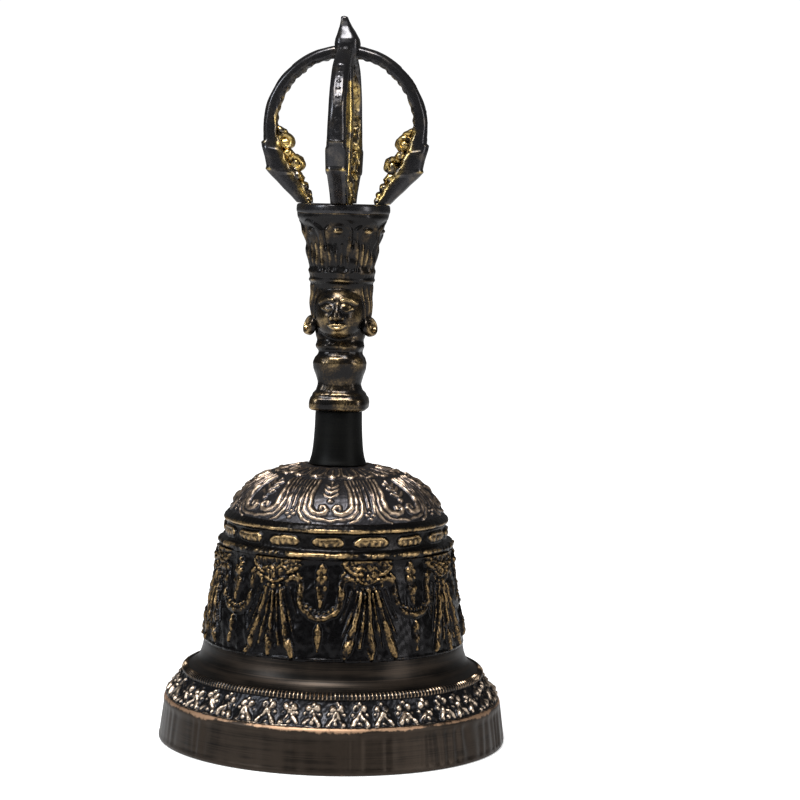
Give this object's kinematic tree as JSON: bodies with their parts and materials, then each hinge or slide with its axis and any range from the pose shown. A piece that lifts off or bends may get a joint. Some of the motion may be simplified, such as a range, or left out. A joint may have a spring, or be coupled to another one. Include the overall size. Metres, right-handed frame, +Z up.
{
  "type": "hand bell",
  "caption": "Ritual hand bell: flared cast bell with a figured handle, arched prong head, and a clapper swinging on a link inside.",
  "frame": {"origin": "centre of the rim's flat underside", "axes": "+Z up along the bell's axis to the spike's tip; -Y is the front, where the handle's face looks; the clapper's link swings about X and the clapper about Y"},
  "size_m": [0.0844, 0.0844, 0.175],
  "materials": {
    "bell_bronze": "dark antique patina with brass showing on the worn relief",
    "handle_bronze": "dark antique patina with rubbed brass highlights",
    "ferrule_black": "smooth turned, blackened",
    "prong_bronze": "gunmetal patina, brass gilding on the inner sides",
    "clapper_iron": "forged, dark and slightly worn",
    "pitch": "set dark pitch"
  },
  "bodies": {
    "bell": {"bell_body": "bell_bronze", "neck_ferrule": "ferrule_black", "handle_grip": "handle_bronze", "handle_pitch": "pitch", "prong_seat": "handle_bronze", "prong_front": "prong_bronze", "prong_back": "prong_bronze", "prong_left": "prong_bronze", "prong_right": "prong_bronze", "centre_prong": "prong_bronze", "hanger": "clapper_iron", "hanger_washer": "clapper_iron"},
    "link": {"clapper_link": "clapper_iron"},
    "clapper": {"clapper_rod": "clapper_iron", "clapper_bob": "clapper_iron"}
  },
  "joints": [
    {"name": "link_swing", "type": "hinge", "parent": "bell", "child": "link", "pos_m": [0, 0, 0.0534], "axis": [1, 0, 0], "range_deg": [-27, 27]},
    {"name": "clapper_swing", "type": "hinge", "parent": "link", "child": "clapper", "pos_m": [0, 0, 0.0462], "axis": [0, 1, 0], "range_deg": [-27, 27]}
  ]
}
